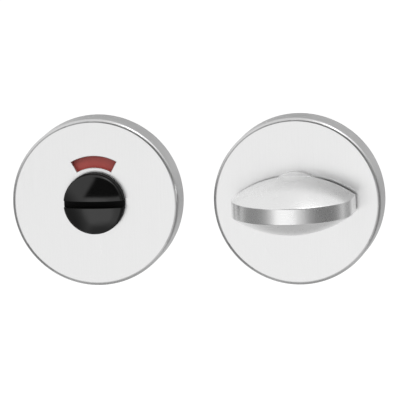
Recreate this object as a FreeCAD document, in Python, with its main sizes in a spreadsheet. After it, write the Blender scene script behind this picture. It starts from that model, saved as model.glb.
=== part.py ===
"""Bathroom thumb turn lock: the two round halves of one lock set, side by side.

The inside half carries the thumb turn and the square spindle, the outside half the coin release
and the indicator disc behind an arc window. Each piece is drawn in the frame of its half, with
x to the right, y up and z out of the door towards the user, z = 0 on the door's face, and is then
stood upright: +X right, +Y into the door, +Z up, with the origin on the thumb turn's axis at the
door's face. Lengths are in millimetres and angles in degrees.
"""
import FreeCAD, Part
import math
import operator
import os
from types import SimpleNamespace

import Sketcher
from FreeCAD import Placement, Rotation, Vector

# Driving dimensions: alias, value, meaning
SIZES = [
    ("rose_diameter", 52.0, "outside of both cover roses"),
    ("rose_height", 10.0, "door face to the front of the roses"),
    ("rose_wall", 1.2, "sheet of the cover roses"),
    ("rose_edge_round", 1.0, "round on the front edge of the roses"),
    ("half_pitch", 63.0, "between the axes of the two halves as they lie side by side"),
    ("window_inner_radius", 10.9, "lower edge of the indicator window"),
    ("window_outer_radius", 14.5, "upper edge of the indicator window"),
    ("window_half_angle", 29.0, "from the window's middle to either end"),
    ("window_edge_round", 0.2, "broken edge around the window"),
    ("shank_wall", 1.27, "shank around the corners of the spindle's socket"),
    ("running_gap", 0.05, "radial play of the shank"),
    ("slide_gap", 0.1, "end play between faces that turn on each other"),
    ("seat_gap", 0.02, "radial gap of pieces pressed or keyed together"),
    ("journal_set_back", 0.4, "door face to the shank's end"),
    ("bush_wall", 0.95, "tube of the bearing bush"),
    ("bush_flange_width", 2.2, "flange beyond the bush's tube"),
    ("bush_flange_thickness", 0.8, "flange behind the rose"),
    ("bush_set_back", 0.1, "bush's front below the rose's front"),
    ("key_reach", 1.5, "key beyond the shank"),
    ("key_angle", 24.0, "angle that the key covers"),
    ("keyway_gap_angle", 1.0, "between the key and the disc's keyway on each side"),
    ("turn_travel", 90.0, "quarter turn between locked and open"),
    ("stop_gap_angle", 2.0, "between the key and the stop at either end of the travel"),
    ("stop_gap", 0.3, "around the key in the hub"),
    ("ring_thickness", 1.0, "spring ring along the shank"),
    ("ring_width", 2.0, "spring ring across its band"),
    ("ring_groove_depth", 0.35, "groove in the shank"),
    ("ring_mouth_gap", 8.0, "angle between the key and the ring's mouth on each side"),
    ("ring_ear_angle", 9.0, "angle from the mouth to an ear's middle"),
    ("ring_ear_radius", 1.5, "ears beside the mouth"),
    ("ring_ear_hole", 0.8, "radius of the plier holes"),
    ("spring_height", 0.9, "dished spring washers along the shank"),
    ("spring_thickness", 0.4, "sheet of the spring washers"),
    ("spring_width", 2.6, "spring washers across their band"),
    ("neck_diameter", 19.0, "round neck of the thumb turn"),
    ("neck_height", 2.0, "rose to the back of the grip"),
    ("grip_length", 37.2, "grip from end to end"),
    ("grip_straight", 7.0, "straight part of the grip's ends"),
    ("grip_thickness", 16.9, "grip at its middle"),
    ("grip_rim", 5.0, "height of the flat rim"),
    ("grip_edge_round", 0.45, "long edges of the grip's rim"),
    ("grip_back_round", 0.3, "edges of the grip's back"),
    ("head_diameter", 19.0, "coin release head"),
    ("head_height", 3.1, "coin release head at its edge"),
    ("head_dome", 1.8, "rise of the head's front"),
    ("head_edge_round", 1.3, "round on the head's edge"),
    ("slot_width", 2.2, "coin slot"),
    ("slot_depth", 1.9, "coin slot below the head's edge"),
    ("disc_thickness", 1.0, "indicator disc"),
    ("disc_margin", 0.6, "disc beyond the red fields"),
    ("red_margin", 0.6, "red fields beyond the window's upper edge"),
    ("red_depth", 0.4, "red fields let into the disc"),
    ("red_end_margin", 10.0, "angle of the red fields beyond the window's ends"),
    ("base_gap", 0.2, "radial gap between base and cover"),
    ("base_front_gap", 0.3, "base's rim to the inside of the cover"),
    ("base_floor", 2.0, "floor of the moulded base"),
    ("base_rim", 1.8, "rim of the moulded base"),
    ("hub_wall", 3.4, "hub around the shank"),
    ("hub_gap", 0.4, "hub's front to the outside half's spring ring"),
    ("rib_thickness", 1.2, "ribs between hub and rim"),
    ("rib_step", 0.4, "ribs below the hub's front"),
    ("snap_level", 3.2, "lower edge of the snap groove in the cover"),
    ("snap_height", 1.5, "width of the snap groove"),
    ("snap_depth", 0.35, "depth of the snap groove"),
    ("snap_gap", 0.1, "around the snap noses in the groove"),
    ("tongue_width", 9.0, "snap tongues in the base's rim"),
    ("tongue_slot", 1.0, "slots beside the snap tongues"),
    ("screw_diameter", 4.0, "fixing screws"),
    ("screw_reach", 25.0, "fixing screws beyond the door's face"),
    ("screw_gap", 0.2, "radial gap around screws and sleeves"),
    ("screw_head_diameter", 7.4, "heads of screws and sleeves"),
    ("screw_head_height", 2.0, "heads of the fixing screws"),
    ("driver_slot_width", 1.1, "driver slots in screws and sleeves"),
    ("driver_slot_depth", 1.0, "driver slots in screws and sleeves"),
    ("sleeve_diameter", 6.0, "threaded sleeves"),
    ("sleeve_bore", 3.4, "thread's core in the sleeves"),
    ("sleeve_reach", 18.0, "sleeves beyond the door's face"),
    ("sleeve_head_height", 1.8, "heads of the sleeves"),
    ("boss_wall", 1.3, "bosses around the heads"),
    ("boss_step", 0.4, "bosses in front of the screw heads"),
    ("boss_inset", 0.4, "bosses in from the outside of the base"),
    ("lug_wall", 0.8, "lugs around the sleeves, the same on both bases"),
    ("lug_length", 5.0, "lugs into the door"),
    ("spindle_side", 8.0, "square spindle"),
    ("spindle_reach", 45.0, "spindle beyond the door's face"),
    ("spindle_past_rose", 2.0, "spindle beyond the rose's front, in the turn"),
    ("spindle_tip", 0.8, "chamfer on the spindle's end"),
    ("spindle_gap", 0.05, "between spindle and socket on each side"),
    ("socket_cover", 1.0, "end of the release's socket behind the rose's front"),
    ("pin_diameter", 2.5, "cross pin through shank and spindle"),
    ("pin_level", 2.6, "cross pin in front of the door's face"),
    ("pin_set_back", 0.5, "pin's ends below the shank's surface"),
]

SNAP_TONGUES = 3
FULL_TURN = 360
HALF_TURN = 180
STRAIGHT_DOWN = 90
OVERCUT = 1.0
SAME_PLACE = 1e-4
OPERATIONS = {"+": operator.add, "-": operator.sub, "*": operator.mul, "/": operator.truediv}
UPRIGHT = Rotation(Vector(1, 0, 0), 90)
ALONG_X = Rotation(Vector(0, 1, 0), 90)


class Size:
    """A length or angle: its number now, and the expression over the sheet that keeps it up to date."""

    def __init__(self, number, text):
        self.number = number
        self.text = text

    def __add__(self, other):
        return combine(self, other, "+")

    def __sub__(self, other):
        return combine(self, other, "-")

    def __mul__(self, other):
        return combine(self, other, "*")

    def __truediv__(self, other):
        return combine(self, other, "/")

    def __neg__(self):
        return combine(0, self, "-")


def as_size(value):
    return value if isinstance(value, Size) else Size(value, str(value))


def combine(left, right, sign):
    left = as_size(left)
    right = as_size(right)
    return Size(OPERATIONS[sign](left.number, right.number), f"({left.text} {sign} {right.text})")


def arc_angle(half_chord, radius):
    """Half the angle, in degrees, of the arc over a chord."""
    ratio = half_chord / radius
    return Size(math.degrees(math.asin(ratio.number)), f"(asin({ratio.text}) / 1 deg)")


def fill_sheet(doc):
    """Write the driving dimensions to the document's sheet and return them by name."""
    sheet = doc.addObject("Spreadsheet::Sheet", "Sizes")
    for row, (alias, value, meaning) in enumerate(SIZES, start=1):
        sheet.set(f"A{row}", meaning)
        sheet.set(f"B{row}", str(value))
        sheet.setAlias(f"B{row}", alias)
    doc.recompute()
    named = {alias: Size(float(sheet.get(alias)), f"Sizes.{alias}") for alias, _, _ in SIZES}
    return SimpleNamespace(**named)


def work_out(dim):
    """Add the levels, radii and angles that several pieces share to the driving dimensions."""
    dim.rose_radius = dim.rose_diameter / 2
    dim.rose_inside = dim.rose_radius - dim.rose_wall
    dim.rose_back = dim.rose_height - dim.rose_wall
    dim.shoulder = dim.rose_height + dim.slide_gap
    dim.socket_side = dim.spindle_side + dim.spindle_gap * 2
    dim.journal_radius = dim.socket_side * math.sqrt(0.5) + dim.shank_wall
    dim.running_radius = dim.journal_radius + dim.running_gap
    dim.bush_radius = dim.running_radius + dim.bush_wall
    dim.flange_radius = dim.bush_radius + dim.bush_flange_width
    dim.flange_back = dim.rose_back - dim.bush_flange_thickness
    dim.stack_front = dim.flange_back - dim.slide_gap
    dim.disc_back = dim.stack_front - dim.disc_thickness
    dim.red_outer = dim.window_outer_radius + dim.red_margin
    dim.red_half_angle = dim.window_half_angle + dim.red_end_margin
    dim.disc_radius = dim.red_outer + dim.disc_margin
    dim.turn_groove_top = dim.stack_front - dim.spring_height
    dim.release_groove_top = dim.disc_back - dim.spring_height
    dim.groove_height = dim.ring_thickness + dim.slide_gap
    dim.ring_core = dim.journal_radius - dim.ring_groove_depth
    dim.ring_opening = dim.key_angle + dim.ring_mouth_gap * 2
    dim.key_radius = dim.journal_radius + dim.key_reach
    dim.turn_key_middle = -dim.turn_travel / 2 - STRAIGHT_DOWN
    dim.release_key_middle = dim.turn_travel / 2 - STRAIGHT_DOWN
    dim.base_radius = dim.rose_inside - dim.base_gap
    dim.base_front = dim.rose_back - dim.base_front_gap
    dim.hub_radius = dim.running_radius + dim.hub_wall
    dim.hub_height = dim.release_groove_top - dim.groove_height - dim.hub_gap
    dim.head_hole = dim.screw_head_diameter / 2 + dim.screw_gap
    dim.boss_radius = dim.head_hole + dim.boss_wall
    dim.boss_height = dim.base_floor + dim.screw_head_height + dim.boss_step
    dim.screw_offset = dim.base_radius - dim.boss_inset - dim.boss_radius
    dim.lug_radius = dim.sleeve_diameter / 2 + dim.screw_gap + dim.lug_wall
    dim.spindle_front = dim.rose_height + dim.spindle_past_rose
    dim.grip_back = dim.rose_height + dim.neck_height
    dim.grip_centre = dim.grip_back + dim.grip_straight
    return dim


def bind(target, **sizes):
    """Bind properties of a document object to the sheet."""
    for name, size in sizes.items():
        target.setExpression(name, as_size(size).text)


def place(target, x=0, y=0, z=0, spin=0, turned=Rotation()):
    """Place an object: its coordinates and its spin about z, after a fixed turn, are bound to the sheet."""
    target.Placement = Placement(Vector(), turned)
    for axis, size in (("x", x), ("y", y), ("z", z)):
        bind(target, **{f"Placement.Base.{axis}": size})
    if isinstance(spin, Size):
        bind(target, **{"Placement.Rotation.Angle": spin})
    return target


def stand(piece, x=0):
    """Turn a finished piece from the frame of its half to the upright frame."""
    return place(piece, x=x, turned=UPRIGHT)


def new_body(doc, label):
    body = doc.addObject("PartDesign::Body", label)
    body.Label = label
    return body


def origin_feature(body, role):
    return next(feature for feature in body.Origin.OriginFeatures if feature.Role == role)


def new_sketch(body, name, role, level=0):
    """A sketch on one of the body's own origin planes, raised by level along that plane's normal."""
    sketch = body.newObject("Sketcher::SketchObject", name)
    sketch.AttachmentSupport = [(origin_feature(body, role), "")]
    sketch.MapMode = "FlatFace"
    bind(sketch, **{"AttachmentOffset.Base.z": level})
    return sketch


def add_rule(sketch, kind, *geometry, size):
    """A constraint whose value is bound to the sheet."""
    number = math.radians(size.number) if kind == "Angle" else size.number
    rule = sketch.addConstraint(Sketcher.Constraint(kind, *geometry, number))
    bind(sketch, **{f"Constraints[{rule}]": size})


def fix_point(sketch, side, end, x, y):
    """Hold one end of a side at (x, y); a plain zero puts it on the sketch's axis."""
    for kind, axis, size in (("DistanceX", -2, as_size(x)), ("DistanceY", -1, as_size(y))):
        if size.text == "0":
            sketch.addConstraint(Sketcher.Constraint("PointOnObject", side, end, axis))
        else:
            add_rule(sketch, kind, -1, 1, side, end, size=size)


def arc_about_axis(start, end):
    """The short arc between two points about a centre on the upright axis, and whether it runs from start."""
    rise = end.y - start.y
    centre = Vector(0, (end.x ** 2 + end.y ** 2 - start.x ** 2 - start.y ** 2) / (2 * rise), 0)
    first = math.atan2(start.y - centre.y, start.x)
    last = math.atan2(end.y - centre.y, end.x)
    circle = Part.Circle(centre, Vector(0, 0, 1), start.distanceToPoint(centre))
    if (last - first) % (2 * math.pi) < math.pi:
        return Part.ArcOfCircle(circle, first, last), True
    return Part.ArcOfCircle(circle, last, first), False


def draw_outline(sketch, corners, arcs=()):
    """A closed outline through the corners; the sides numbered in arcs bulge about the upright axis."""
    points = [Vector(as_size(x).number, as_size(y).number, 0) for x, y in corners]
    ends = []
    for number, start in enumerate(points):
        end = points[(number + 1) % len(points)]
        if number in arcs:
            curve, forward = arc_about_axis(start, end)
        else:
            curve, forward = Part.LineSegment(start, end), True
        side = sketch.addGeometry(curve)
        ends.append((side, 1, 2) if forward else (side, 2, 1))
        if number in arcs:
            sketch.addConstraint(Sketcher.Constraint("PointOnObject", side, 3, -2))
    for number, (side, first, last) in enumerate(ends):
        following, follow_first, _ = ends[(number + 1) % len(ends)]
        sketch.addConstraint(Sketcher.Constraint("Coincident", side, last, following, follow_first))
        fix_point(sketch, side, first, *corners[number])
    return sketch


def draw_box(sketch, left, right, low, high):
    return draw_outline(sketch, [(left, low), (right, low), (right, high), (left, high)])


def draw_circle(sketch, x, y, radius):
    centre = Vector(as_size(x).number, as_size(y).number, 0)
    side = sketch.addGeometry(Part.Circle(centre, Vector(0, 0, 1), radius.number))
    add_rule(sketch, "Radius", side, size=radius)
    fix_point(sketch, side, 3, x, y)
    return sketch


def revolve(body, name, sketch, angle=FULL_TURN, midplane=False, back=False):
    """Turn a sketch about its upright axis."""
    turned = body.newObject("PartDesign::Revolution", name)
    turned.Profile = sketch
    turned.ReferenceAxis = (sketch, ["V_Axis"])
    turned.Midplane = midplane
    turned.Reversed = back
    bind(turned, Angle=angle)
    return turned


def pad(body, name, sketch, length, down=False):
    raised = body.newObject("PartDesign::Pad", name)
    raised.Profile = sketch
    raised.Reversed = down
    bind(raised, Length=length)
    return raised


def pocket(body, name, sketch, depth):
    """Cut a sketch into the solid, downwards from its level."""
    hollow = body.newObject("PartDesign::Pocket", name)
    hollow.Profile = sketch
    bind(hollow, Length=depth)
    return hollow


def spread(body, name, features):
    """Repeat features evenly around the body's own axis."""
    pattern = body.newObject("PartDesign::PolarPattern", name)
    pattern.Originals = features
    pattern.Axis = (origin_feature(body, "Z_Axis"), [""])
    pattern.Angle = FULL_TURN
    pattern.Occurrences = SNAP_TONGUES
    body.Tip = pattern
    return pattern


def break_edges(body, kind, name, test, size):
    """Round (PartDesign::Fillet) or bevel (PartDesign::Chamfer) the edges of the last feature that pass."""
    body.Document.recompute()
    base = body.Tip
    edges = [f"Edge{number}" for number, edge in enumerate(base.Shape.Edges, start=1) if test(edge)]
    broken = body.newObject(kind, name)
    broken.Base = (base, edges)
    bind(broken, **{"Radius" if kind.endswith("Fillet") else "Size": size})
    return broken


def round_edges(body, name, test, radius):
    return break_edges(body, "PartDesign::Fillet", name, test, radius)


def lies_at(edge, level):
    """Whether an edge lies in the plane z = level."""
    return max(abs(edge.BoundBox.ZMin - level.number), abs(edge.BoundBox.ZMax - level.number)) < SAME_PLACE


def ends_between(edge, low, high):
    """Whether an edge's ends lie between two distances from the z axis."""
    spans = [math.hypot(vertex.X, vertex.Y) for vertex in edge.Vertexes]
    return low.number - SAME_PLACE < min(spans) and max(spans) < high.number + SAME_PLACE


def cylinder(doc, name, radius, height, level=0, x=0, angle=FULL_TURN, spin=0):
    """A helper cylinder, or a sector of one, standing on level in the frame of its half."""
    drum = doc.addObject("Part::Cylinder", name)
    bind(drum, Radius=radius, Height=height, Angle=angle)
    return place(drum, x=x, z=level, spin=spin)


def fuse(doc, name, shapes):
    joined = doc.addObject("Part::MultiFuse", name)
    joined.Shapes = shapes
    return joined


def cut(doc, name, base, tool):
    remainder = doc.addObject("Part::Cut", name)
    remainder.Base = base
    remainder.Tool = tool
    remainder.Label = name
    return remainder


def group(doc, name, shapes):
    """Separate solids held together as one object."""
    compound = doc.addObject("Part::Compound", name)
    compound.Links = shapes
    compound.Label = name
    return compound


# Cover roses


def make_cover(doc, dim, label, x, window):
    """Cup-shaped rose with the bush's hole, a snap groove inside and, on the outside half, the window."""
    body = new_body(doc, label)
    hole = dim.bush_radius + dim.seat_gap
    snap_top = dim.snap_level + dim.snap_height
    snap_wall = dim.rose_inside + dim.snap_depth
    section = draw_outline(new_sketch(body, f"{label}_section", "XZ_Plane"), [
        (hole, dim.rose_height), (dim.rose_radius, dim.rose_height), (dim.rose_radius, 0),
        (dim.rose_inside, 0), (dim.rose_inside, dim.snap_level), (snap_wall, dim.snap_level),
        (snap_wall, snap_top), (dim.rose_inside, snap_top), (dim.rose_inside, dim.rose_back),
        (hole, dim.rose_back)])
    revolve(body, f"{label}_cup", section)
    round_edges(body, f"{label}_front_edge",
                lambda edge: lies_at(edge, dim.rose_height)
                and ends_between(edge, dim.rose_radius, dim.rose_radius),
                dim.rose_edge_round)
    if window:
        cut_window(body, dim)
    return stand(body, x)


def cut_window(body, dim):
    """Arc window between two radii, symmetric about the top, with broken front edges."""
    sketch = new_sketch(body, "window_outline", "XY_Plane", dim.rose_height)
    lean = math.radians(dim.window_half_angle.number)
    up = math.pi / 2
    arcs = []
    for radius in (dim.window_inner_radius, dim.window_outer_radius):
        circle = Part.Circle(Vector(), Vector(0, 0, 1), radius.number)
        arcs.append(sketch.addGeometry(Part.ArcOfCircle(circle, up - lean, up + lean)))
        sketch.addConstraint(Sketcher.Constraint("Coincident", arcs[-1], 3, -1, 1))
        add_rule(sketch, "Radius", arcs[-1], size=radius)
    for end, heading in ((1, as_size(90) - dim.window_half_angle), (2, as_size(90) + dim.window_half_angle)):
        turn = math.radians(heading.number)
        ray = Vector(math.cos(turn), math.sin(turn), 0)
        line = sketch.addGeometry(Part.LineSegment(ray * dim.window_inner_radius.number,
                                                   ray * dim.window_outer_radius.number))
        sketch.addConstraint(Sketcher.Constraint("Coincident", line, 1, arcs[0], end))
        sketch.addConstraint(Sketcher.Constraint("Coincident", line, 2, arcs[1], end))
        sketch.addConstraint(Sketcher.Constraint("PointOnObject", -1, 1, line))
        add_rule(sketch, "Angle", line, size=heading)
    pocket(body, "window", sketch, dim.rose_wall + OVERCUT)
    round_edges(body, "window_edge",
                lambda edge: lies_at(edge, dim.rose_height)
                and ends_between(edge, dim.window_inner_radius, dim.window_outer_radius),
                dim.window_edge_round)


# Bearing bushes


def make_bush(doc, dim, label, x):
    """Flanged plastic bush: the tube in the rose's hole, the flange behind it."""
    bore_length = dim.rose_height - dim.flange_back
    tube = cylinder(doc, f"{label}_tube", dim.bush_radius, bore_length - dim.bush_set_back, dim.flange_back)
    flange = cylinder(doc, f"{label}_flange", dim.flange_radius, dim.bush_flange_thickness, dim.flange_back)
    bore = cylinder(doc, f"{label}_bore", dim.running_radius, bore_length, dim.flange_back)
    return stand(cut(doc, label, fuse(doc, f"{label}_blank", [tube, flange]), bore), x)


# Shanks of the turn and the release


def shank_corners(dim, groove_top):
    """The shank's side from its end to the shoulder in front of the rose, with the ring's groove."""
    groove_low = groove_top - dim.groove_height
    return [(0, dim.journal_set_back), (dim.journal_radius, dim.journal_set_back),
            (dim.journal_radius, groove_low), (dim.ring_core, groove_low), (dim.ring_core, groove_top),
            (dim.journal_radius, groove_top), (dim.journal_radius, dim.shoulder)]


def add_key(body, dim, middle, top):
    """Key along the shank, up to top: it meets the hub's stops at the ends of the quarter turn."""
    key = body.newObject("PartDesign::AdditiveCylinder", f"{body.Label}_key")
    bind(key, Radius=dim.key_radius, Height=top - dim.journal_set_back, Angle=dim.key_angle)
    place(key, z=dim.journal_set_back, spin=middle - dim.key_angle / 2)


def cut_socket(body, dim, top):
    """Square socket for the spindle, open at the shank's end."""
    socket = body.newObject("PartDesign::SubtractiveBox", f"{body.Label}_socket")
    bind(socket, Length=dim.socket_side, Width=dim.socket_side, Height=top)
    place(socket, x=-dim.socket_side / 2, y=-dim.socket_side / 2)


def cut_pin_hole(body, dim):
    """Cross hole for the pin, along x and right through."""
    hole = body.newObject("PartDesign::SubtractiveCylinder", f"{body.Label}_pin_hole")
    bind(hole, Radius=dim.pin_diameter / 2 + dim.seat_gap, Height=dim.key_radius * 2)
    place(hole, x=-dim.key_radius, z=dim.pin_level, turned=ALONG_X)


# Thumb turn


def make_thumb_turn(doc, dim):
    """Cast turn: a grip like half a lens, round in front and straight behind, on a round neck and shank."""
    body = new_body(doc, "thumb_turn")
    add_grip(body, dim)
    neck = dim.neck_diameter / 2
    section = draw_outline(new_sketch(body, "turn_section", "XZ_Plane"),
                           shank_corners(dim, dim.turn_groove_top)
                           + [(neck, dim.shoulder), (neck, dim.grip_back), (0, dim.grip_back)])
    revolve(body, "turn_shank", section)
    add_key(body, dim, dim.turn_key_middle, dim.hub_height)
    cut_socket(body, dim, dim.spindle_front + dim.spindle_gap)
    cut_pin_hole(body, dim)
    return stand(body)


def add_grip(body, dim):
    """The grip, with the edges of its rim and of its back rounded."""
    tip = dim.grip_length / 2
    rim = dim.grip_rim / 2
    crown = dim.grip_thickness / 2
    lens = draw_outline(new_sketch(body, "grip_back_outline", "XY_Plane", dim.grip_centre),
                        [(tip, -rim), (tip, rim), (0, crown), (-tip, rim), (-tip, -rim), (0, -crown)],
                        arcs=(1, 2, 4, 5))
    pad(body, "grip_back", lens, dim.grip_straight, down=True)
    half = draw_outline(new_sketch(body, "grip_front_outline", "XY_Plane", dim.grip_centre),
                        [(0, -crown), (tip, -rim), (tip, rim), (0, crown)], arcs=(0, 2))
    revolve(body, "grip_front", half, FULL_TURN / 2, back=True)

    def on_rim(edge):
        box = edge.BoundBox
        return box.YLength < SAME_PLACE and abs(abs(box.Center.y) - rim.number) < SAME_PLACE

    round_edges(body, "grip_rim_edges", on_rim, dim.grip_edge_round)
    round_edges(body, "grip_back_edges", lambda edge: lies_at(edge, dim.grip_back), dim.grip_back_round)


# Spindle and its pin


def make_spindle(doc, dim):
    """Square bar with a bevelled end and the pin's cross hole."""
    body = new_body(doc, "spindle")
    half = dim.spindle_side / 2
    sketch = new_sketch(body, "spindle_square", "XY_Plane", dim.spindle_front)
    draw_box(sketch, -half, half, -half, half)
    pad(body, "spindle_bar", sketch, dim.spindle_front + dim.spindle_reach, down=True)
    break_edges(body, "PartDesign::Chamfer", "spindle_end",
                lambda edge: lies_at(edge, -dim.spindle_reach), dim.spindle_tip)
    cut_pin_hole(body, dim)
    return stand(body)


def make_spindle_pin(doc, dim):
    pin = doc.addObject("Part::Cylinder", "spindle_pin")
    reach = dim.journal_radius - dim.pin_set_back
    bind(pin, Radius=dim.pin_diameter / 2, Height=reach * 2)
    return place(pin, x=-reach, y=-dim.pin_level, turned=ALONG_X)


# Coin release


def make_coin_release(doc, dim):
    """Black release: a low domed head with a coin slot, on a keyed shank with the spindle's socket."""
    body = new_body(doc, "coin_release")
    head = dim.head_diameter / 2
    edge_level = dim.rose_height + dim.head_height
    corners = shank_corners(dim, dim.release_groove_top) + [
        (head, dim.shoulder), (head, edge_level), (0, edge_level + dim.head_dome)]
    section = new_sketch(body, "release_section", "XZ_Plane")
    revolve(body, "release_blank", draw_outline(section, corners, arcs=(len(corners) - 2,)))
    round_edges(body, "head_edge",
                lambda edge: lies_at(edge, edge_level) and ends_between(edge, head, head),
                dim.head_edge_round)
    add_key(body, dim, dim.release_key_middle, dim.stack_front)
    cut_socket(body, dim, dim.rose_height - dim.socket_cover)
    slot = body.newObject("PartDesign::SubtractiveBox", "coin_slot")
    bind(slot, Length=dim.head_diameter + 2 * OVERCUT, Width=dim.slot_width,
         Height=dim.slot_depth + dim.head_dome + OVERCUT)
    place(slot, x=-head - OVERCUT, y=-dim.slot_width / 2, z=edge_level - dim.slot_depth)
    return stand(body, -dim.half_pitch)


# Indicator disc


def red_fields(doc, dim, name):
    """Two red fields, at the top and at the bottom, so that a quarter turn shows white."""
    low = dim.stack_front - dim.red_depth
    drums = [cylinder(doc, f"{name}_at_{middle}", dim.red_outer, dim.red_depth, low,
                      angle=dim.red_half_angle * 2, spin=as_size(middle) - dim.red_half_angle)
             for middle in (90, 270)]
    inside = cylinder(doc, f"{name}_inside", dim.flange_radius, dim.red_depth, low)
    return cut(doc, name, fuse(doc, f"{name}_drums", drums), inside)


def make_indicator_disc(doc, dim):
    """White disc on the shank and its key, with recesses for the red fields."""
    blank = cylinder(doc, "disc_blank", dim.disc_radius, dim.disc_thickness, dim.disc_back)
    bore = cylinder(doc, "disc_bore", dim.journal_radius + dim.seat_gap, dim.disc_thickness, dim.disc_back)
    width = dim.key_angle + dim.keyway_gap_angle * 2
    keyway = cylinder(doc, "disc_keyway", dim.key_radius + dim.seat_gap, dim.disc_thickness, dim.disc_back,
                      angle=width, spin=dim.release_key_middle - width / 2)
    holes = fuse(doc, "disc_holes", [bore, keyway, red_fields(doc, dim, "disc_recesses")])
    return stand(cut(doc, "indicator_disc", blank, holes), -dim.half_pitch)


def make_indicator_red(doc, dim):
    return stand(red_fields(doc, dim, "indicator_red"), -dim.half_pitch)


# Spring rings and spring washers


def make_retaining_ring(doc, dim, label, groove_top, key_middle, x):
    """Open spring ring in the shank's groove; its mouth, with an ear on each side, lies over the key."""
    thickness = dim.ring_thickness
    low = groove_top - dim.slide_gap / 2 - thickness
    inner = dim.ring_core + dim.seat_gap
    outer = inner + dim.ring_width
    band = cylinder(doc, f"{label}_band", outer, thickness, low)
    bore = cylinder(doc, f"{label}_bore", inner, thickness, low)
    mouth = cylinder(doc, f"{label}_mouth", outer + dim.ring_ear_radius * 2, thickness, low,
                     angle=dim.ring_opening, spin=key_middle - dim.ring_opening / 2)
    solids = [band]
    holes = [bore, mouth]
    for side, sign in (("left", 1), ("right", -1)):
        swing = key_middle + (dim.ring_opening / 2 + dim.ring_ear_angle) * sign
        ear = cylinder(doc, f"{label}_{side}_ear", dim.ring_ear_radius, thickness, low, outer)
        hole = cylinder(doc, f"{label}_{side}_hole", dim.ring_ear_hole, thickness, low, outer)
        solids.append(place(group(doc, f"{label}_{side}_ear_place", [ear]), spin=swing))
        holes.append(place(group(doc, f"{label}_{side}_hole_place", [hole]), spin=swing))
    blank = fuse(doc, f"{label}_blank", solids)
    return stand(cut(doc, label, blank, fuse(doc, f"{label}_tools", holes)), x)


def make_spring_washer(doc, dim, label, front, key_middle, x):
    """Dished washer in front of the spring ring, open over the key."""
    body = new_body(doc, label)
    inner = dim.running_radius + dim.running_gap
    outer = inner + dim.spring_width
    back = front - dim.spring_height + dim.slide_gap / 2
    section = new_sketch(body, f"{label}_section", "XZ_Plane")
    section.AttachmentOffset = Placement(Vector(), Rotation(Vector(0, 1, 0), 1))
    bind(section, **{"AttachmentOffset.Rotation.Angle": key_middle + HALF_TURN})
    draw_outline(section, [(inner, back), (outer, front - dim.spring_thickness), (outer, front),
                           (inner, back + dim.spring_thickness)])
    revolve(body, f"{label}_band", section, as_size(FULL_TURN) - dim.ring_opening, midplane=True)
    return stand(body, x)


# Moulded bases


def make_base(doc, dim, label, stud_radius, x):
    """Moulded base: floor, rim with snap tongues, hub, ribs, screw bosses, and lugs into the door."""
    body = new_body(doc, label)
    inside = dim.base_radius - dim.base_rim
    section = draw_outline(new_sketch(body, f"{label}_section", "XZ_Plane"), [
        (dim.running_radius, 0), (dim.base_radius, 0), (dim.base_radius, dim.base_front),
        (inside, dim.base_front), (inside, dim.base_floor), (dim.hub_radius, dim.base_floor),
        (dim.hub_radius, dim.hub_height), (dim.running_radius, dim.hub_height)])
    revolve(body, f"{label}_shell", section)
    add_ribs(body, dim, inside)
    add_screw_places(body, dim, stud_radius + dim.screw_gap)
    cut_stop(body, dim)
    add_tongues(body, dim, inside)
    return stand(body, x)


def add_ribs(body, dim, inside):
    """Ribs from hub to rim, midway between the snap tongues."""
    half = dim.rib_thickness / 2
    sketch = draw_box(new_sketch(body, f"{body.Label}_rib_outline", "XY_Plane"), -half, half,
                      -inside - dim.base_rim / 2, -dim.hub_radius + dim.hub_wall / 4)
    spread(body, f"{body.Label}_ribs",
           [pad(body, f"{body.Label}_rib", sketch, dim.hub_height - dim.rib_step)])


def add_screw_places(body, dim, hole):
    """At both screws: a boss around the head's seat, a lug into the door, and the hole through both."""
    label = body.Label

    def rounds(name, radius, level=0):
        sketch = new_sketch(body, f"{label}_{name}_rounds", "XY_Plane", level)
        for across in (dim.screw_offset, -dim.screw_offset):
            draw_circle(sketch, across, 0, radius)
        return sketch

    pad(body, f"{label}_bosses", rounds("boss", dim.boss_radius), dim.boss_height)
    pad(body, f"{label}_lugs", rounds("lug", dim.lug_radius), dim.lug_length, down=True)
    pocket(body, f"{label}_seats", rounds("seat", dim.head_hole, dim.boss_height),
           dim.boss_height - dim.base_floor)
    pocket(body, f"{label}_holes", rounds("hole", hole, dim.boss_height), dim.boss_height + dim.lug_length)


def cut_stop(body, dim):
    """Room in the hub for the key's swing, half of the travel to each side of straight down."""
    room = body.newObject("PartDesign::SubtractiveCylinder", f"{body.Label}_stop")
    angle = dim.turn_travel + dim.key_angle + dim.stop_gap_angle * 2
    bind(room, Radius=dim.key_radius + dim.stop_gap, Height=dim.hub_height, Angle=angle)
    place(room, spin=-angle / 2 - STRAIGHT_DOWN)


def add_tongues(body, dim, inside):
    """Snap tongues: slots through the rim on both sides, and a nose that clicks into the cover's groove."""
    label = body.Label
    half = dim.tongue_width / 2
    sketch = new_sketch(body, f"{label}_slot_outline", "XY_Plane", dim.base_front)
    for left, right in ((half, half + dim.tongue_slot), (-half - dim.tongue_slot, -half)):
        draw_box(sketch, left, right, inside - dim.base_rim, dim.base_radius + OVERCUT)
    slots = pocket(body, f"{label}_slots", sketch, dim.base_front - dim.base_floor)
    low = dim.snap_level + dim.snap_gap
    high = dim.snap_level + dim.snap_height - dim.snap_gap
    root = dim.base_radius - dim.base_rim / 2
    crest = dim.rose_inside + dim.snap_depth - dim.snap_gap
    profile = draw_outline(new_sketch(body, f"{label}_nose_outline", "YZ_Plane"), [
        (root, low), (crest, low), (dim.base_radius, high), (root, high)])
    angle = arc_angle(half - dim.tongue_slot, dim.base_radius) * 2
    nose = revolve(body, f"{label}_nose", profile, angle, midplane=True)
    spread(body, f"{label}_tongues", [slots, nose])


# Screws and sleeves


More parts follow.
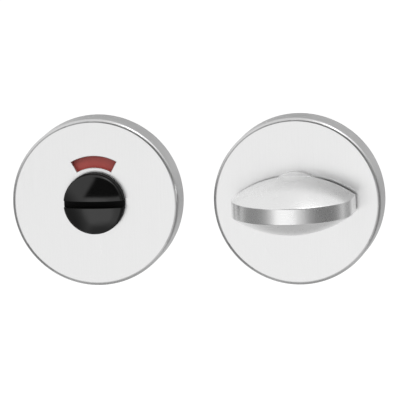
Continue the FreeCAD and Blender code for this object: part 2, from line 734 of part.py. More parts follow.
def driver_slot(doc, name, dim, top):
    slot = doc.addObject("Part::Box", name)
    length = dim.screw_head_diameter + 2 * OVERCUT
    bind(slot, Length=length, Width=dim.driver_slot_width, Height=dim.driver_slot_depth + OVERCUT)
    return place(slot, x=dim.screw_offset - length / 2, y=-dim.driver_slot_width / 2,
                 z=top - dim.driver_slot_depth)


def headed_stud(doc, name, dim, radius, reach, head_height):
    """A stud through the door at the right screw place, with its head on the base's floor."""
    head = cylinder(doc, f"{name}_head", dim.screw_head_diameter / 2, head_height, dim.base_floor,
                    dim.screw_offset)
    stud = cylinder(doc, f"{name}_stud", radius, reach + dim.base_floor, -reach, dim.screw_offset)
    return fuse(doc, f"{name}_blank", [head, stud])


def pair(doc, label, single, x):
    """The same piece at both screw places, as one group."""
    mirrored = doc.addObject("Part::Mirroring", f"{label}_mirrored")
    mirrored.Source = single
    mirrored.Normal = Vector(1, 0, 0)
    return stand(group(doc, label, [single, mirrored]), x)


def make_fixing_screws(doc, dim):
    """Two machine screws with slotted heads."""
    blank = headed_stud(doc, "screw", dim, dim.screw_diameter / 2, dim.screw_reach, dim.screw_head_height)
    slot = driver_slot(doc, "screw_slot", dim, dim.base_floor + dim.screw_head_height)
    return pair(doc, "fixing_screws", cut(doc, "one_screw", blank, slot), 0)


def make_sleeve_nuts(doc, dim):
    """Two headed sleeves, open right through, for the fixing screws' threads."""
    blank = headed_stud(doc, "sleeve", dim, dim.sleeve_diameter / 2, dim.sleeve_reach, dim.sleeve_head_height)
    top = dim.base_floor + dim.sleeve_head_height
    bore = cylinder(doc, "sleeve_core", dim.sleeve_bore / 2, dim.sleeve_reach + top, -dim.sleeve_reach,
                    dim.screw_offset)
    tools = fuse(doc, "sleeve_tools", [bore, driver_slot(doc, "sleeve_slot", dim, top)])
    return pair(doc, "sleeve_nuts", cut(doc, "one_sleeve", blank, tools), -dim.half_pitch)


def build_release_half(doc, dim):
    x = -dim.half_pitch
    key = dim.release_key_middle
    return [
        make_cover(doc, dim, "release_cover", x, window=True),
        make_bush(doc, dim, "release_bush", x),
        make_coin_release(doc, dim),
        make_indicator_disc(doc, dim),
        make_indicator_red(doc, dim),
        make_spring_washer(doc, dim, "release_spring_washer", dim.disc_back, key, x),
        make_retaining_ring(doc, dim, "release_retaining_ring", dim.release_groove_top, key, x),
        make_base(doc, dim, "release_base", dim.sleeve_diameter / 2, x),
        make_sleeve_nuts(doc, dim),
    ]


def build_turn_half(doc, dim):
    key = dim.turn_key_middle
    return [
        make_cover(doc, dim, "turn_cover", 0, window=False),
        make_bush(doc, dim, "turn_bush", 0),
        make_thumb_turn(doc, dim),
        make_spring_washer(doc, dim, "turn_spring_washer", dim.stack_front, key, 0),
        make_retaining_ring(doc, dim, "turn_retaining_ring", dim.turn_groove_top, key, 0),
        make_spindle(doc, dim),
        make_spindle_pin(doc, dim),
        make_base(doc, dim, "turn_base", dim.screw_diameter / 2, 0),
        make_fixing_screws(doc, dim),
    ]


def check(doc, pieces):
    """Stop before anything is written if a feature failed or a piece is not a sound solid."""
    for feature in doc.Objects:
        if any(word in ("Invalid", "Error") for word in feature.State):
            raise RuntimeError(f"{feature.Name} failed: {feature.State}")
    for piece in pieces:
        if piece.Shape.isNull() or not piece.Shape.isValid() or not piece.Shape.Solids:
            raise RuntimeError(f"{piece.Label} is not a valid solid")


def main():
    doc = FreeCAD.newDocument("ThumbTurnLock")
    dim = work_out(fill_sheet(doc))
    pieces = build_release_half(doc, dim) + build_turn_half(doc, dim)
    doc.recompute()
    check(doc, pieces)
    os.makedirs("parts", exist_ok=True)
    for piece in pieces:
        piece.Shape.exportStep(f"parts/{piece.Label}.step")


main()
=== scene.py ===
"""Looks of the bathroom thumb turn lock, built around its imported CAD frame.

Everything is in metres and in the frame of the CAD: +X right, +Y into the door, +Z up, with the
origin on the thumb turn's axis at the door's face.
"""
import math

import bmesh
import bpy
from mathutils import Matrix, Vector


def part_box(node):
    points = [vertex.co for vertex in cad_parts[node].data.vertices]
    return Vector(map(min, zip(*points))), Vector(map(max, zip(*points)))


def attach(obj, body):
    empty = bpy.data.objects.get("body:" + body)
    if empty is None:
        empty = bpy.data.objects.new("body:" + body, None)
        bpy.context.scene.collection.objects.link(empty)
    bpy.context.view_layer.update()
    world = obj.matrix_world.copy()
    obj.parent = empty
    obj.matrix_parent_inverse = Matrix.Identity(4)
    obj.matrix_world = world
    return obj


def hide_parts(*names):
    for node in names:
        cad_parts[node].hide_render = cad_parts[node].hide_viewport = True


MM = 0.001
IMAGE_SIZE = 400

# Camera, as measured on the photograph
CAMERA_AZIMUTH = math.radians(10.25)
CAMERA_ELEVATION = math.radians(9.6)
CAMERA_ROLL = math.radians(2.0)
CAMERA_LENS = 600.0
CAMERA_SENSOR = 36.0
CAMERA_REACH = 20.0
PIXELS_PER_METRE = 3238.0
AIM_PIXEL = (201.3, 196.7)
AIM_POINT = Vector((-31.5, 0.0, 0.0)) * MM

# World, floor and light tent
AMBIENT = 0.68
FLOOR_LEVEL = -0.24
FLOOR_SIZE = 6.0
FLOOR_TONE = 0.9
FLOOR_GLOW = 0.45
TENT_RADIUS = 5.0
TENT_DETAIL = 4

# Soft boxes: azimuth, elevation, distance, side, radiance
LAMPS = {
    "key": (30.0, 45.0, 1.0, 0.4, 8.2),
    "fill": (-25.0, 15.0, 1.0, 0.6, 1.6),
}

# Panels of the light tent: azimuth, elevation, inner and outer half angle, tone
GREY_PANELS = {
    "left": (-98.0, -10.0, 20.0, 42.0, 0.64),
    "right": (75.0, -12.0, 14.0, 58.0, 0.2),
    "right_behind": (141.0, -10.0, 8.0, 26.0, 0.38),
    "behind": (164.0, -8.0, 38.0, 48.0, 0.62),
    "behind_top": (-176.0, 12.0, 10.0, 29.0, 0.43),
    "behind_high": (-150.0, 50.0, 30.0, 50.0, 0.95),
    "front_high": (14.0, 24.0, 6.0, 22.0, 0.68),
    "front_mid": (3.0, 14.0, 7.0, 18.0, 0.42),
    "low_behind": (175.0, -62.0, 18.0, 40.0, 0.55),
    "low_front": (0.0, -65.0, 18.0, 36.0, 0.4),
}
BRIGHT_PANELS = {
    "right_high": (75.0, 60.0, 14.0, 30.0, 1.6),
    "key_core": (58.0, 62.0, 5.0, 9.0, 5.0),
    "front_low": (-5.0, -18.0, 17.0, 24.0, 1.38),
}

# Grey panels for first reflections only, bright ones for later reflections only, and the depth between
FIRST_PANELS = {"left_low": (-68.0, -26.0, 22.0, 48.0, 0.25)}
LATER_PANELS = {"front_left": (-32.0, 16.0, 18.0, 28.0, 1.46)}
FIRST_DEPTH = 1.5

# Black flag in front, for first reflections only: its soft edges as parts of a unit vector
FLAG_TONE = 0.03
FLAG_BOTTOM = (-0.02, 0.05)
FLAG_TOP = (0.56, 0.64)
FLAG_RIGHT = (0.6, 0.7)
FLAG_LEFT = (-0.46, -0.34)
FLAG_SLANT = 0.6

# Axes of the two halves
RELEASE_X = -63.0 * MM
TURN_X = 0.0

# Kinds of noise: detail and roughness
CLOUDED = (2.0, 0.5)
MOTTLED = (3.0, 0.5)
FINE = (3.0, 0.6)
BRUSHED = (4.0, 0.75)

# Satin roses: radii where the finish changes and of a ring of painted shade at the face's edge, waves per
# metre along x, y and z, greys, roughness, relief
WALL_START = (24.95 * MM, 25.3 * MM)
# Painted shade: a thin dark ring painted into the rose's colour at the face's edge, standing in for the edge
# round's dark reflection
PAINTED_SHADE_START = (24.88 * MM, 25.06 * MM)
PAINTED_SHADE_END = (25.26 * MM, 25.48 * MM)
FACE_LINES = (1500.0, 300.0, 45.0)
WALL_LINES = (40.0, 1800.0, 40.0)
ROSE_CLOUD = (70.0, 70.0, 45.0)
ROSE_LINE_SHARE = 0.6
FACE_GREYS = (0.65, 0.785)
WALL_GREYS = (0.5, 0.8)
# Grey of the painted shade ring at the face's edge
PAINTED_SHADE_GREY = 0.46
ROSE_ROUGHNESS = (0.24, 0.36)
ROSE_UNEVENNESS = (-0.02, 0.02)
ROSE_RELIEF = 0.003 * MM
ROSE_ANISOTROPY = 0.6

# Satin grip
GRIP_LINES = (90.0, 3600.0, 3600.0)
GRIP_CLOUD = (120.0, 120.0, 120.0)
GRIP_GREYS = (0.79, 0.84)
GRIP_ROUGHNESS = (0.23, 0.33)
GRIP_UNEVENNESS = (-0.02, 0.03)
GRIP_RELIEF = 0.0015 * MM
GRIP_ANISOTROPY = 0.5

# Black coin head: its slot's width, the radii where its face turns into its side, and its finish
COIN_SLOT_WIDTH = 2.24 * MM
COIN_HEAD_SIDE = (8.95 * MM, 9.35 * MM)
COIN_PEEL = (900.0, 900.0, 900.0)
COIN_SCUFF = (250.0, 900.0, 2600.0)
COIN_GREYS = (0.002, 0.004)
COIN_ROUGHNESS = (0.05, 0.14)
COIN_SPECULAR = 0.5
COIN_RELIEF = 0.004 * MM
COIN_IOR = 1.5
MATT_ROUGHNESS = 0.6
MATT_SPECULAR = 0.12

# Moulded plastics
PLASTIC_GRAIN = 1400.0
PLASTIC_CLOUD = (150.0, 150.0, 150.0)
PLASTIC_GRAIN_SHARE = 0.6
PLASTIC_ROUGHNESS = (0.42, 0.58)
PLASTIC_RELIEF = 0.006 * MM
PLASTIC_IOR = 1.47
BASE_GRAIN = 2400.0
BASE_RELIEF = 0.012 * MM

# Steel
STEEL_CLOUD = (300.0, 300.0, 300.0)
STEEL_LINE_SHARE = 0.4
STEEL_RELIEF = 0.0015 * MM
PLATE_LINES = (900.0, 2500.0, 900.0)
DRAWN_LINES = (3000.0, 80.0, 3000.0)
PLATE_ROUGHNESS = (0.25, 0.42)
SPRING_LINES = (1500.0, 1500.0, 1500.0)
SPRING_ROUGHNESS = (0.38, 0.55)

# Dark and light colour of the plastics and of the steel
NYLON = ((0.7, 0.69, 0.65, 1.0), (0.8, 0.79, 0.76, 1.0))
BASE_PLASTIC = ((0.085, 0.085, 0.092, 1.0), (0.15, 0.15, 0.158, 1.0))
RED_PLASTIC = ((0.33, 0.052, 0.044, 1.0), (0.4, 0.078, 0.066, 1.0))
WHITE_PLASTIC = ((0.84, 0.84, 0.82, 1.0), (0.9, 0.9, 0.88, 1.0))
SPRING_STEEL = ((0.2, 0.2, 0.21, 1.0), (0.36, 0.36, 0.37, 1.0))
ZINC_PLATE = ((0.55, 0.56, 0.57, 1.0), (0.68, 0.69, 0.71, 1.0))

# Threads of the fixing screws and sleeves
THREAD_PITCH = 0.7 * MM
THREAD_RADIUS = 2.0 * MM
THREAD_DEPTH = 0.4 * MM
BORE_RADIUS = 1.7 * MM
BORE_DEPTH = 0.3 * MM
SLEEVE_RADIUS = 3.0 * MM
TIP_EDGE = 0.5 * MM
ROWS_PER_TURN = 8
SIDES = 40
SHARP_ANGLE = math.radians(40.0)

# Heads of the fixing screws and sleeves: seat, rounded edge and its middle, driver slot, cutter's length
SEAT_LEVEL = -2.0 * MM
HEAD_EDGE = 0.35 * MM
HEAD_EDGE_MIDDLE = 0.3
SLOT_WIDTH = 1.1 * MM
SLOT_DEPTH = 1.0 * MM
SLOT_RADII = 4.0


# Node helpers


def add_node(tree, kind, sockets=None, **settings):
    """Add a node with its settings; each socket gets a link or a plain value."""
    made = tree.nodes.new(kind)
    for name, value in settings.items():
        setattr(made, name, value)
    for key, value in (sockets or {}).items():
        if isinstance(value, bpy.types.NodeSocket):
            tree.links.new(value, made.inputs[key])
        else:
            made.inputs[key].default_value = value
    return made


def calc(tree, operation, *values):
    """The result of a Math node."""
    return add_node(tree, "ShaderNodeMath", dict(enumerate(values)), operation=operation).outputs[0]


def vector_calc(tree, operation, *values):
    """A Vector Math node."""
    return add_node(tree, "ShaderNodeVectorMath", dict(enumerate(values)), operation=operation)


def ramp(tree, value, low, high, to_low=0.0, to_high=1.0):
    """Smooth step of a value from one range to another."""
    sockets = {"Value": value, "From Min": low, "From Max": high, "To Min": to_low, "To Max": to_high}
    made = add_node(tree, "ShaderNodeMapRange", sockets, interpolation_type="SMOOTHSTEP")
    return made.outputs["Result"]


def fall(tree, value, low, high):
    """Smooth step from 1 down to 0."""
    return ramp(tree, value, low, high, 1.0, 0.0)


def span(tree, value, low, high):
    """A value between 0 and 1 spread over another range."""
    sockets = {"Value": value, "To Min": low, "To Max": high}
    return add_node(tree, "ShaderNodeMapRange", sockets).outputs["Result"]


def own_place(tree):
    """Coordinates on the piece itself, in metres."""
    return add_node(tree, "ShaderNodeTexCoord").outputs["Object"]


def axis_distance(tree, place, centre_x):
    """Distance of a place from the axis of one half."""
    centred = vector_calc(tree, "SUBTRACT", place, (centre_x, 0.0, 0.0)).outputs[0]
    flat = vector_calc(tree, "MULTIPLY", centred, (1.0, 0.0, 1.0)).outputs[0]
    return vector_calc(tree, "LENGTH", flat).outputs["Value"]


def noise(tree, place, per_metre, detail, roughness):
    """Noise from 0 to 1 with its own number of waves per metre along x, y and z."""
    scaled = vector_calc(tree, "MULTIPLY", place, per_metre).outputs[0]
    sockets = {"Vector": scaled, "Scale": 1.0, "Detail": detail, "Roughness": roughness}
    return add_node(tree, "ShaderNodeTexNoise", sockets).outputs["Fac"]


def grey(level):
    """An opaque grey."""
    return (level, level, level, 1.0)


def blend_colours(tree, share, first, second):
    """The first colour at share 0 and the second at share 1."""
    sockets = {0: share, 6: first, 7: second}
    return add_node(tree, "ShaderNodeMix", sockets, data_type="RGBA").outputs[2]


def blend_greys(tree, share, first, second):
    """The first grey at share 0 and the second at share 1."""
    return blend_colours(tree, share, grey(first), grey(second))


def blend_values(tree, share, first, second):
    """The first value at share 0 and the second at share 1."""
    return add_node(tree, "ShaderNodeMix", {0: share, 2: first, 3: second}).outputs[0]


def weighted(tree, first, second, share):
    """Mean of two values, in which the first has the given share."""
    rest = calc(tree, "MULTIPLY", second, 1.0 - share)
    return calc(tree, "MULTIPLY_ADD", first, share, rest)


def bump(tree, height, distance):
    """Normals of a relief that is as deep as the given distance."""
    sockets = {"Height": height, "Distance": distance, "Strength": 1.0}
    return add_node(tree, "ShaderNodeBump", sockets).outputs["Normal"]


def brushed_across(tree, direction):
    """World direction, given on the piece itself, in which a brushed finish spreads the light."""
    made = add_node(tree, "ShaderNodeVectorTransform", {0: direction}, vector_type="VECTOR",
                    convert_from="OBJECT", convert_to="WORLD")
    return made.outputs[0]


def new_material(name, **sockets):
    """A material with one Principled shader; constants are set on the shader's own sockets."""
    material = bpy.data.materials.new(name)
    material.use_nodes = True
    tree = material.node_tree
    shader = tree.nodes["Principled BSDF"]
    for key, value in sockets.items():
        shader.inputs[key.replace("_", " ")].default_value = value
    return material, tree, shader


def feed(tree, shader, **sockets):
    """Link values to a shader's sockets, whose names have _ for each space."""
    for key, value in sockets.items():
        tree.links.new(value, shader.inputs[key.replace("_", " ")])


# Materials


def satin_rose(name, centre_x):
    """Satin aluminium: a face brushed up and down, a thin dark ring of painted shade at its edge in place of
    the edge round's dark reflection, and a turned wall.
    """
    material, tree, shader = new_material(name, Metallic=1.0, Anisotropic=ROSE_ANISOTROPY)
    place = own_place(tree)
    radius = axis_distance(tree, place, centre_x)
    on_wall = ramp(tree, radius, *WALL_START)
    # Painted shade: mask of a thin dark ring at the face's edge, in place of the edge round's dark reflection
    on_painted_shade = calc(tree, "MULTIPLY", ramp(tree, radius, *PAINTED_SHADE_START), fall(tree, radius, *PAINTED_SHADE_END))
    face_lines = noise(tree, place, FACE_LINES, *BRUSHED)
    wall_lines = noise(tree, place, WALL_LINES, *BRUSHED)
    lines = blend_values(tree, on_wall, face_lines, wall_lines)
    cloud = noise(tree, place, ROSE_CLOUD, *CLOUDED)
    tone = weighted(tree, lines, cloud, ROSE_LINE_SHARE)
    face = blend_greys(tree, tone, *FACE_GREYS)
    wall = blend_greys(tree, tone, *WALL_GREYS)
    # The painted shade ring darkens the colour at the face's edge
    metal = blend_colours(tree, on_painted_shade, blend_colours(tree, on_wall, face, wall), grey(PAINTED_SHADE_GREY))
    rough = calc(tree, "ADD", span(tree, lines, *ROSE_ROUGHNESS), span(tree, cloud, *ROSE_UNEVENNESS))
    on_face = calc(tree, "SUBTRACT", 1.0, on_wall)
    across = add_node(tree, "ShaderNodeCombineXYZ", {0: on_face, 1: on_wall}).outputs[0]
    feed(tree, shader, Base_Color=metal, Roughness=rough, Normal=bump(tree, lines, ROSE_RELIEF),
         Tangent=brushed_across(tree, across))
    return material


def satin_grip(name):
    """Satin cast aluminium, finely brushed along the grip."""
    material, tree, shader = new_material(name, Metallic=1.0, Anisotropic=GRIP_ANISOTROPY)
    place = own_place(tree)
    lines = noise(tree, place, GRIP_LINES, *FINE)
    cloud = noise(tree, place, GRIP_CLOUD, *CLOUDED)
    colour = blend_greys(tree, cloud, *GRIP_GREYS)
    rough = calc(tree, "ADD", span(tree, lines, *GRIP_ROUGHNESS), span(tree, cloud, *GRIP_UNEVENNESS))
    feed(tree, shader, Base_Color=colour, Roughness=rough, Normal=bump(tree, lines, GRIP_RELIEF),
         Tangent=brushed_across(tree, (0.0, 0.0, 1.0)))
    return material


def black_gloss(name):
    """Glossy black moulding with a faint unevenness, and a matt coin slot and side."""
    material, tree, shader = new_material(name, IOR=COIN_IOR)
    place = own_place(tree)
    peel = noise(tree, place, COIN_PEEL, *CLOUDED)
    scuff = noise(tree, place, COIN_SCUFF, *FINE)
    height = calc(tree, "ABSOLUTE", add_node(tree, "ShaderNodeSeparateXYZ", {0: place}).outputs["Z"])
    in_slot = calc(tree, "LESS_THAN", height, COIN_SLOT_WIDTH / 2)
    on_side = ramp(tree, axis_distance(tree, place, RELEASE_X), *COIN_HEAD_SIDE)
    matt = calc(tree, "MAXIMUM", in_slot, on_side)
    colour = blend_greys(tree, peel, *COIN_GREYS)
    rough = blend_values(tree, matt, span(tree, scuff, *COIN_ROUGHNESS), MATT_ROUGHNESS)
    shine = blend_values(tree, matt, COIN_SPECULAR, MATT_SPECULAR)
    feed(tree, shader, Base_Color=colour, Roughness=rough, Normal=bump(tree, peel, COIN_RELIEF),
         Specular_IOR_Level=shine)
    return material


def moulded_plastic(name, colours, grain=PLASTIC_GRAIN, relief=PLASTIC_RELIEF):
    """Plain moulded plastic with a fine grain."""
    material, tree, shader = new_material(name, IOR=PLASTIC_IOR)
    place = own_place(tree)
    fine = noise(tree, place, (grain, grain, grain), *FINE)
    cloud = noise(tree, place, PLASTIC_CLOUD, *CLOUDED)
    share = weighted(tree, fine, cloud, PLASTIC_GRAIN_SHARE)
    feed(tree, shader, Base_Color=blend_colours(tree, share, *colours),
         Roughness=span(tree, fine, *PLASTIC_ROUGHNESS), Normal=bump(tree, fine, relief))
    return material


def worked_steel(name, colours, lines_per_metre, roughness=PLATE_ROUGHNESS):
    """Steel with fine drawn or turned lines and a clouded finish."""
    material, tree, shader = new_material(name, Metallic=1.0)
    place = own_place(tree)
    lines = noise(tree, place, lines_per_metre, *FINE)
    cloud = noise(tree, place, STEEL_CLOUD, *MOTTLED)
    share = weighted(tree, lines, cloud, STEEL_LINE_SHARE)
    feed(tree, shader, Base_Color=blend_colours(tree, share, *colours),
         Roughness=span(tree, lines, *roughness), Normal=bump(tree, lines, STEEL_RELIEF))
    return material


def make_materials():
    """Every finish by the name of the piece that wears it."""
    nylon = moulded_plastic("natural_nylon", NYLON)
    base = moulded_plastic("base_moulding", BASE_PLASTIC, BASE_GRAIN, BASE_RELIEF)
    spring = worked_steel("phosphated_spring", SPRING_STEEL, SPRING_LINES, SPRING_ROUGHNESS)
    zinc = worked_steel("zinc_plate", ZINC_PLATE, PLATE_LINES)
    drawn = worked_steel("drawn_zinc", ZINC_PLATE, DRAWN_LINES)
    return {
        "release_cover": satin_rose("satin_release_rose", RELEASE_X),
        "turn_cover": satin_rose("satin_turn_rose", TURN_X),
        "thumb_turn": satin_grip("satin_grip"),
        "coin_release": black_gloss("black_gloss_moulding"),
        "indicator_red": moulded_plastic("red_field", RED_PLASTIC),
        "indicator_disc": moulded_plastic("white_moulding", WHITE_PLASTIC),
        "release_bush": nylon,
        "turn_bush": nylon,
        "release_base": base,
        "turn_base": base,
        "release_spring_washer": spring,
        "turn_spring_washer": spring,
        "release_retaining_ring": spring,
        "turn_retaining_ring": spring,
        "spindle_pin": spring,
        "spindle": drawn,
        "fixing_screws": zinc,
        "sleeve_nuts": zinc,
    }


def dress(piece, material):
    """Give a piece its one material."""
    piece.data.materials.clear()
    piece.data.materials.append(material)


def link_object(name, data):
    """A new object in the scene."""
    made = bpy.data.objects.new(name, data)
    bpy.context.scene.collection.objects.link(made)
    return made


def finished_mesh(name, shell):
    """A mesh with the shape of a bmesh, which is freed."""
    mesh = bpy.data.meshes.new(name)
    shell.to_mesh(mesh)
    shell.free()
    return mesh


# Threaded pieces


def thread_rows(start, end, radius, depth):
    """Rows of a right-hand thread; depth is taken off the radius and fades in at both ends."""
    count = round((end - start) / THREAD_PITCH * ROWS_PER_TURN)
    rows = []
    for i in range(count + 1):
        y = start + (end - start) * i / count
        fade = min(1.0, (y - start) / THREAD_PITCH, (end - y) / THREAD_PITCH)
        radii = []
        for side in range(SIDES):
            phase = (y / THREAD_PITCH + side / SIDES) % 1.0
            radii.append(radius - depth * fade * abs(2.0 * phase - 1.0))
        rows.append((y, radii))
    return rows


def head_rows(top, head_radius):
    """Rows of a head, from its rounded edge at the top to its seat."""
    middle = HEAD_EDGE * HEAD_EDGE_MIDDLE
    return [(top, head_radius - HEAD_EDGE), (top + middle, head_radius - middle),
            (top + HEAD_EDGE, head_radius), (SEAT_LEVEL, head_radius)]


def turned_mesh(name, rows, ring):
    """Mesh of revolution along Y; each row is a height with one radius or one for each side."""
    shell = bmesh.new()
    angles = [2.0 * math.pi * side / SIDES for side in range(SIDES)]
    loops = []
    for y, radius in rows:
        radii = radius if isinstance(radius, list) else [radius] * SIDES
        loops.append([shell.verts.new((r * math.cos(a), y, r * math.sin(a))) for r, a in zip(radii, angles)])
    pairs = list(zip(loops, loops[1:]))
    if ring:
        pairs.append((loops[-1], loops[0]))
    else:
        shell.faces.new(loops[0])
        shell.faces.new(loops[-1])
    for first, second in pairs:
        for side in range(SIDES):
            after = (side + 1) % SIDES
            shell.faces.new((first[side], first[after], second[after], second[side]))
    bmesh.ops.recalc_face_normals(shell, faces=shell.faces)
    return finished_mesh(name, shell)


def driver_slot(top, head_radius):
    """Block that cuts the driver slot into a head that faces the front; half of it stands outside."""
    shell = bmesh.new()
    bmesh.ops.create_cube(shell, size=1.0)
    scale = Matrix.Diagonal((SLOT_RADII * head_radius, 2.0 * SLOT_DEPTH, SLOT_WIDTH, 1.0))
    shell.transform(Matrix.Translation((0.0, top, 0.0)) @ scale)
    return link_object("driver_slot", finished_mesh("driver_slot", shell))


def slotted(mesh, top, head_radius):
    """The mesh with a driver slot across its head."""
    blank = link_object("blank", mesh)
    tool = driver_slot(top, head_radius)
    cutting = blank.modifiers.new("slot", "BOOLEAN")
    cutting.object = tool
    cutting.solver = "EXACT"
    bpy.context.view_layer.update()
    result = bpy.data.meshes.new_from_object(blank.evaluated_get(bpy.context.evaluated_depsgraph_get()))
    bpy.data.objects.remove(blank)
    bpy.data.objects.remove(tool)
    return result


def screw_mesh(top, tip, head_radius):
    """Machine screw with a slotted head, threaded nearly up to the head."""
    rows = head_rows(top, head_radius) + [(SEAT_LEVEL, THREAD_RADIUS)]
    rows += thread_rows(SEAT_LEVEL + THREAD_PITCH, tip - TIP_EDGE, THREAD_RADIUS, THREAD_DEPTH)
    rows.append((tip, THREAD_RADIUS - TIP_EDGE))
    return slotted(turned_mesh("screw", rows, False), top, head_radius)


def sleeve_mesh(top, tip, head_radius):
    """Headed sleeve, open right through, with a thread in its bore."""
    mouth = BORE_RADIUS + BORE_DEPTH
    bore = thread_rows(top + BORE_DEPTH, tip - BORE_DEPTH, mouth, BORE_DEPTH)
    rows = [(top, mouth)] + head_rows(top, head_radius)
    rows += [(SEAT_LEVEL, SLEEVE_RADIUS), (tip - TIP_EDGE, SLEEVE_RADIUS), (tip, SLEEVE_RADIUS - TIP_EDGE)]
    rows += [(tip, mouth)] + bore[::-1]
    return slotted(turned_mesh("sleeve", rows, True), top, head_radius)


def threaded_pair(node, make_mesh, material):
    """Both pieces of a node with their threads, in the node's own places."""
    low, high = (Vector(corner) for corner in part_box(node))
    head_radius = high.z
    one = make_mesh(low.y, high.y, head_radius)
    shell = bmesh.new()
    for x in (low.x + head_radius, high.x - head_radius):
        count = len(shell.verts)
        shell.from_mesh(one)
        shell.verts.ensure_lookup_table()
        bmesh.ops.translate(shell, verts=shell.verts[count:], vec=(x, 0.0, 0.0))
    mesh = finished_mesh(node + "_threaded", shell)
    mesh.shade_smooth()
    mesh.set_sharp_from_angle(angle=SHARP_ANGLE)
    piece = link_object(node + "_threaded", mesh)
    dress(piece, material)
    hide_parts(node)
    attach(piece, "roses")


# Studio


def light_path_white(tree):
    """1 for rays of the camera, reflections and glass, which see plain white."""
    path = add_node(tree, "ShaderNodeLightPath")
    seen = calc(tree, "MAXIMUM", path.outputs["Is Camera Ray"], path.outputs["Is Glossy Ray"])
    return calc(tree, "MAXIMUM", seen, path.outputs["Is Transmission Ray"])


def make_world():
    """Even light from all around, and a white background."""
    world = bpy.data.worlds.new("studio")
    bpy.context.scene.world = world
    world.use_nodes = True
    world.cycles.sampling_method = "NONE"
    tree = world.node_tree
    background = tree.nodes["Background"]
    background.inputs["Color"].default_value = grey(1.0)
    feed(tree, background, Strength=blend_values(tree, light_path_white(tree), AMBIENT, 1.0))


def stage_material(name):
    """A material with an empty node tree."""
    material = bpy.data.materials.new(name)
    material.use_nodes = True
    material.node_tree.nodes.clear()
    return material, material.node_tree


def make_floor():
    """Plain pale floor well below the set; it keeps the set's soft shadow."""
    mesh = bpy.data.meshes.new("floor")
    half = FLOOR_SIZE / 2
    corners = [(-half, -half, FLOOR_LEVEL), (half, -half, FLOOR_LEVEL), (half, half, FLOOR_LEVEL),
               (-half, half, FLOOR_LEVEL)]
    mesh.from_pydata(corners, [], [(0, 1, 2, 3)])
    floor = link_object("floor", mesh)
    material, tree = stage_material("floor")
    diffuse = add_node(tree, "ShaderNodeBsdfDiffuse", {"Color": grey(FLOOR_TONE)}).outputs[0]
    glow = add_node(tree, "ShaderNodeEmission", {"Color": grey(1.0), "Strength": FLOOR_GLOW}).outputs[0]
    both = add_node(tree, "ShaderNodeAddShader", {0: diffuse, 1: glow}).outputs[0]
    mixed = add_node(tree, "ShaderNodeMixShader", {0: light_path_white(tree), 1: diffuse, 2: both}).outputs[0]
    add_node(tree, "ShaderNodeOutputMaterial", {"Surface": mixed})
    mesh.materials.append(material)
    floor.visible_glossy = False


def heading(azimuth, elevation):
    """Unit vector towards a place in the studio; azimuth 0 is in front, 90 on the right."""
    a = math.radians(azimuth)
    e = math.radians(elevation)
    return Vector((math.sin(a) * math.cos(e), -math.cos(a) * math.cos(e), math.sin(e)))


def panel_tone(tree, towards, azimuth, elevation, inner, outer, tone):
    """Tone of the tent with one round soft-edged panel."""
    middle = tuple(heading(azimuth, elevation))
    facing = vector_calc(tree, "DOT_PRODUCT", towards, middle).outputs["Value"]
    return ramp(tree, facing, math.cos(math.radians(outer)), math.cos(math.radians(inner)), 1.0, tone)


def first_reflection(tree):
    """1 for rays that come from their first reflection."""
    path = add_node(tree, "ShaderNodeLightPath")
    return calc(tree, "LESS_THAN", path.outputs["Glossy Depth"], FIRST_DEPTH)


def flag_share(tree, towards):
    """1 on the black flag, whose left edge leans to the right."""
    across, depth, height = add_node(tree, "ShaderNodeSeparateXYZ", {0: towards}).outputs
    slanted = calc(tree, "MULTIPLY_ADD", height, -FLAG_SLANT, across)
    share = calc(tree, "LESS_THAN", depth, 0.0)
    edges = (ramp(tree, height, *FLAG_BOTTOM), fall(tree, height, *FLAG_TOP),
             ramp(tree, slanted, *FLAG_LEFT), fall(tree, across, *FLAG_RIGHT))
    for edge in edges:
        share = calc(tree, "MULTIPLY", share, edge)
    return share


def tent_tone(tree):
    """Tone of the tent: white, darkened by the grey panels and the flag, and lit by the bright panels."""
    towards = vector_calc(tree, "NORMALIZE", own_place(tree)).outputs[0]
    first = first_reflection(tree)
    tone = 1.0
    for panel in GREY_PANELS.values():
        tone = calc(tree, "MINIMUM", tone, panel_tone(tree, towards, *panel))
    for panel in FIRST_PANELS.values():
        shown = blend_values(tree, first, 1.0, panel_tone(tree, towards, *panel))
        tone = calc(tree, "MINIMUM", tone, shown)
    on_flag = calc(tree, "MULTIPLY", first, flag_share(tree, towards))
    tone = calc(tree, "MINIMUM", tone, blend_values(tree, on_flag, 1.0, FLAG_TONE))
    for panel in BRIGHT_PANELS.values():
        tone = calc(tree, "MULTIPLY", tone, panel_tone(tree, towards, *panel))
    for panel in LATER_PANELS.values():
        shown = blend_values(tree, first, panel_tone(tree, towards, *panel), 1.0)
        tone = calc(tree, "MULTIPLY", tone, shown)
    return tone


def make_tent():
    """White light tent with grey and bright panels around the set, seen in reflections only."""
    shell = bmesh.new()
    bmesh.ops.create_icosphere(shell, subdivisions=TENT_DETAIL, radius=TENT_RADIUS)
    mesh = finished_mesh("light_tent", shell)
    tent = link_object("light_tent", mesh)
    tent.location = AIM_POINT
    material, tree = stage_material("light_tent")
    material.cycles.emission_sampling = "NONE"
    glow = add_node(tree, "ShaderNodeEmission", {"Color": grey(1.0), "Strength": tent_tone(tree)}).outputs[0]
    add_node(tree, "ShaderNodeOutputMaterial", {"Surface": glow})
    mesh.materials.append(material)
    tent.visible_camera = False
    tent.visible_diffuse = False
    tent.visible_transmission = False
    tent.visible_volume_scatter = False
    tent.visible_shadow = False


def make_lamp(name, azimuth, elevation, distance, size, radiance):
    """Square soft box that faces the set; reflections show the tent in its place."""
    data = bpy.data.lights.new(name, "AREA")
    data.shape = "SQUARE"
    data.size = size
    data.energy = radiance * math.pi * size * size
    lamp = link_object(name, data)
    towards = heading(azimuth, elevation)
    lamp.location = AIM_POINT + towards * distance
    lamp.rotation_euler = towards.to_track_quat("Z", "Y").to_euler()
    lamp.visible_camera = False
    lamp.visible_glossy = False


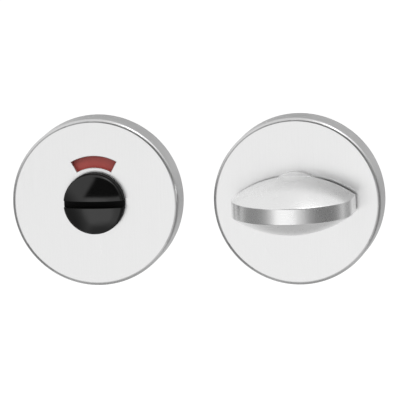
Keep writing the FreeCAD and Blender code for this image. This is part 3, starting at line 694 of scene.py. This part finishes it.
def make_camera():
    """Camera that puts the aim point on its pixel at the photograph's scale."""
    data = bpy.data.cameras.new("camera")
    data.lens = CAMERA_LENS
    data.sensor_width = CAMERA_SENSOR
    data.clip_end = CAMERA_REACH
    camera = link_object("camera", data)
    sin_a, cos_a = math.sin(CAMERA_AZIMUTH), math.cos(CAMERA_AZIMUTH)
    sin_e, cos_e = math.sin(CAMERA_ELEVATION), math.cos(CAMERA_ELEVATION)
    back = Vector((sin_a * cos_e, -cos_a * cos_e, sin_e))
    level = Vector((cos_a, sin_a, 0.0))
    upward = back.cross(level)
    right = level * math.cos(CAMERA_ROLL) - upward * math.sin(CAMERA_ROLL)
    up = level * math.sin(CAMERA_ROLL) + upward * math.cos(CAMERA_ROLL)
    centre = (AIM_POINT - right * ((AIM_PIXEL[0] - IMAGE_SIZE / 2) / PIXELS_PER_METRE)
              + up * ((AIM_PIXEL[1] - IMAGE_SIZE / 2) / PIXELS_PER_METRE))
    distance = IMAGE_SIZE / PIXELS_PER_METRE * CAMERA_LENS / CAMERA_SENSOR
    turned = Matrix((right, up, back)).transposed().to_4x4()
    camera.matrix_world = Matrix.Translation(centre + back * distance) @ turned
    bpy.context.scene.camera = camera


# The whole scene

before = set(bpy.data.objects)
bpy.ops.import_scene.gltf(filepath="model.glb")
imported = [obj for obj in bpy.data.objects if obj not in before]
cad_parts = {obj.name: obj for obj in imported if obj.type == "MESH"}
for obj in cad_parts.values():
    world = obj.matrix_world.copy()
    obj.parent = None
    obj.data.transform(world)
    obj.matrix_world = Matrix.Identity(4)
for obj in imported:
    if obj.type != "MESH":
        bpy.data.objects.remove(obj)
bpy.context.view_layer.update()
finishes = make_materials()
for node, finish in finishes.items():
    dress(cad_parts[node], finish)
threaded_pair("fixing_screws", screw_mesh, finishes["fixing_screws"])
threaded_pair("sleeve_nuts", sleeve_mesh, finishes["sleeve_nuts"])
make_world()
make_floor()
make_tent()
for name, settings in LAMPS.items():
    make_lamp(name, *settings)
make_camera()
bpy.context.scene.view_settings.view_transform = "Standard"
